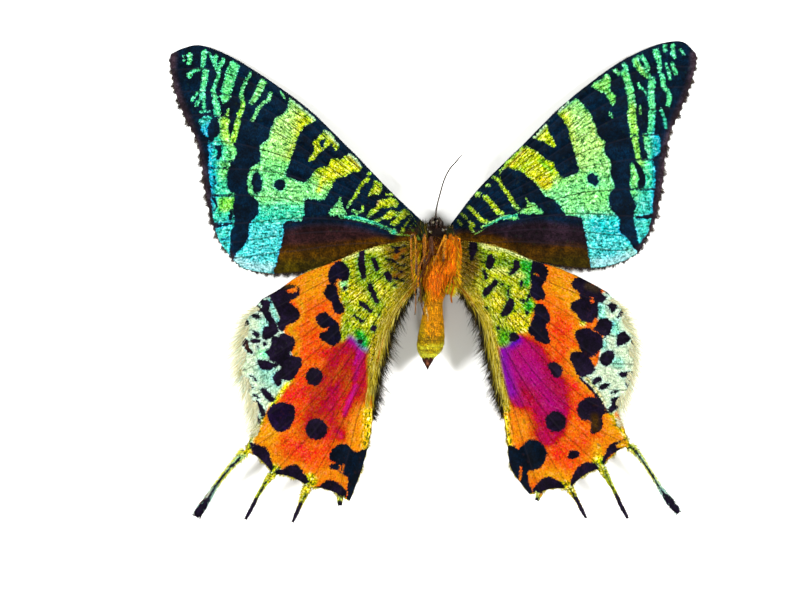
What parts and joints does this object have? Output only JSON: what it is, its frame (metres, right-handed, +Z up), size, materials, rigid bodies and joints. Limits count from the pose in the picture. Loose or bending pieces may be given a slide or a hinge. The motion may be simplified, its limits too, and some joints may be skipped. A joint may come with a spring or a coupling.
{
  "type": "madagascan sunset moth",
  "caption": "Life-size still model of a spread, dried day-flying moth with tailed hindwings, lying on its back with its underside up.",
  "frame": {"origin": "on the floor, in the flat of the back that carries the thorax", "axes": "+Z up out of the belly, +Y towards the head, +X towards the wings on the right of the view from above"},
  "size_m": [0.0849, 0.0775, 0.0087],
  "materials": {
    "scales_fore": "dry wing scales, green and black with a satin sheen",
    "scales_hind": "dry wing scales, green, orange, red and magenta with black spots",
    "orange_coat": "short orange hair",
    "gold_coat": "short gold scales and hair",
    "brown_coat": "short dark brown hair",
    "horn": "dark brown chitin",
    "eye": "dark, finely faceted and glossy"
  },
  "bodies": {
    "root": {"forewing_left": "scales_fore", "forewing_right": "scales_fore", "hindwing_left": "scales_hind", "hindwing_right": "scales_hind", "thorax": "orange_coat", "abdomen": "gold_coat", "abdomen_tip": "brown_coat", "head": "brown_coat", "eye_left": "eye", "eye_right": "eye", "proboscis": "horn", "palp_left": "horn", "palp_right": "horn", "antenna_left": "horn", "antenna_right": "horn", "foreleg_left": "orange_coat", "midleg_left": "orange_coat", "hindleg_left": "orange_coat", "foreleg_right": "orange_coat", "midleg_right": "orange_coat", "hindleg_right": "orange_coat"}
  },
  "joints": []
}
